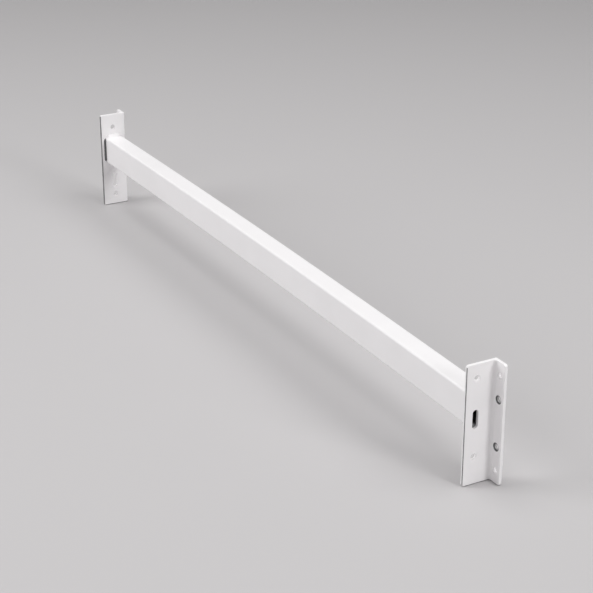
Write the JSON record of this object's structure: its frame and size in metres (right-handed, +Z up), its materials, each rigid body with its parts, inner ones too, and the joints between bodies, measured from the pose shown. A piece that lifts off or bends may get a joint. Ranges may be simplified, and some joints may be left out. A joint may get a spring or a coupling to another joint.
{
  "type": "pallet rack beam",
  "caption": "Box-section rack beam with drilled and slotted angle brackets welded to its ends, for bolting between rack uprights.",
  "frame": {"origin": "on the floor under the middle of the beam, half way between the brackets' front and rear edges", "axes": "+X along the beam to its right end as seen from the front, +Y to the rear where the flanges are, +Z up"},
  "size_m": [1.564, 0.06, 0.22],
  "materials": {
    "tube_coat": "white satin powder coat on a steel box section",
    "bracket_coat": "white satin powder coat on steel angle, thin and dark along the leg's front edge",
    "weld_coat": "white powder coat over rippled fillet weld",
    "bare_steel": "dark bare steel: front weld runs and the tapped holes' threads"
  },
  "bodies": {
    "root": {"box_tube": "tube_coat", "right_end_bracket": "bracket_coat", "left_end_bracket": "bracket_coat", "right_weld_top": "weld_coat", "right_weld_bottom": "weld_coat", "right_weld_front": "bare_steel", "right_weld_rear": "weld_coat", "left_weld_top": "weld_coat", "left_weld_bottom": "weld_coat", "left_weld_front": "bare_steel", "left_weld_rear": "weld_coat"}
  },
  "joints": []
}
